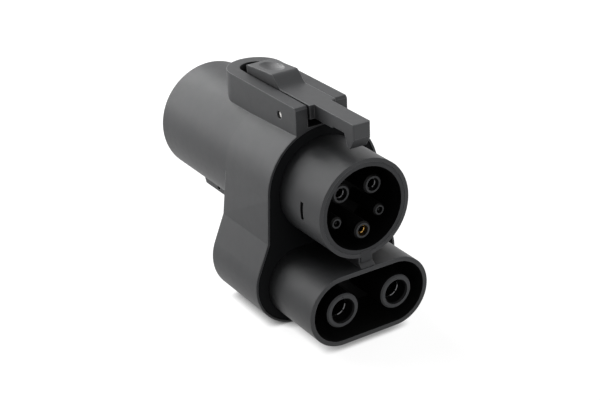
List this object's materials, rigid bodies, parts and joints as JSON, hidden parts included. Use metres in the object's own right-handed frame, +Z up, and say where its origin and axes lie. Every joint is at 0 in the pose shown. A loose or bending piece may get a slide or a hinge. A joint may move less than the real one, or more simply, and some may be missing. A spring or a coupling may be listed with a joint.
{
  "type": "ev charging adapter",
  "caption": "Charging adapter with a combined AC and DC nose in front, a round inlet behind, and a sprung thumb latch on top.",
  "frame": {"origin": "middle of the footprint, on the surface that the block stands on", "axes": "-Y towards the car (the two noses), +Y towards the charging cable, +Z up, X across"},
  "size_m": [0.072, 0.1304, 0.1033],
  "materials": {
    "housing_plastic": "fine moulded texture, matt charcoal",
    "nose_plastic": "smooth matt charcoal",
    "carrier_plastic": "smooth matt black grey",
    "lever_plastic": "satin charcoal",
    "inner_plastic": "matt black",
    "sensor_plastic": "matt black",
    "board_laminate": "green glass laminate",
    "seal_rubber": "matt black elastomer",
    "silver_contact": "silver plated copper alloy",
    "gold_contact": "gold-toned plated contact",
    "busbar_copper": "bare copper",
    "pin_steel": "bright ground steel",
    "screw_steel": "zinc plated steel",
    "spring_steel": "drawn spring wire"
  },
  "bodies": {
    "adapter": {"rear_housing": "housing_plastic", "nose_moulding": "nose_plastic", "face_seal": "seal_rubber", "front_gasket": "seal_rubber", "ac_contact_carrier": "carrier_plastic", "dc_contact_carrier": "carrier_plastic", "contact_retainer": "inner_plastic", "retainer_screws": "screw_steel", "ac_line_socket_left": "silver_contact", "ac_line_socket_right": "silver_contact", "earth_socket": "gold_contact", "pilot_socket": "silver_contact", "proximity_socket": "silver_contact", "dc_socket_positive": "silver_contact", "dc_socket_negative": "silver_contact", "hinge_pin": "pin_steel", "latch_spring": "spring_steel", "rear_inlet": "inner_plastic", "rear_seal_ring": "seal_rubber", "rear_screws": "screw_steel", "rear_power_pin_positive": "silver_contact", "rear_power_pin_negative": "silver_contact", "rear_earth_pin": "silver_contact", "rear_pilot_pin": "silver_contact", "rear_proximity_pin": "silver_contact", "busbar_positive": "busbar_copper", "busbar_negative": "busbar_copper", "earth_link": "busbar_copper", "circuit_board": "board_laminate", "temperature_sensor_positive": "sensor_plastic", "temperature_sensor_negative": "sensor_plastic"},
    "lever": {"latch_lever": "lever_plastic"}
  },
  "joints": [
    {"name": "latch_hinge", "type": "hinge", "parent": "adapter", "child": "lever", "pos_m": [0, -0.0198, 0.0915], "axis": [-1, 0, 0], "range_deg": [0, 7], "stiffness_Nm_per_rad": 1.2, "springref_deg": -3.44, "deforming": ["latch_spring"]}
  ]
}
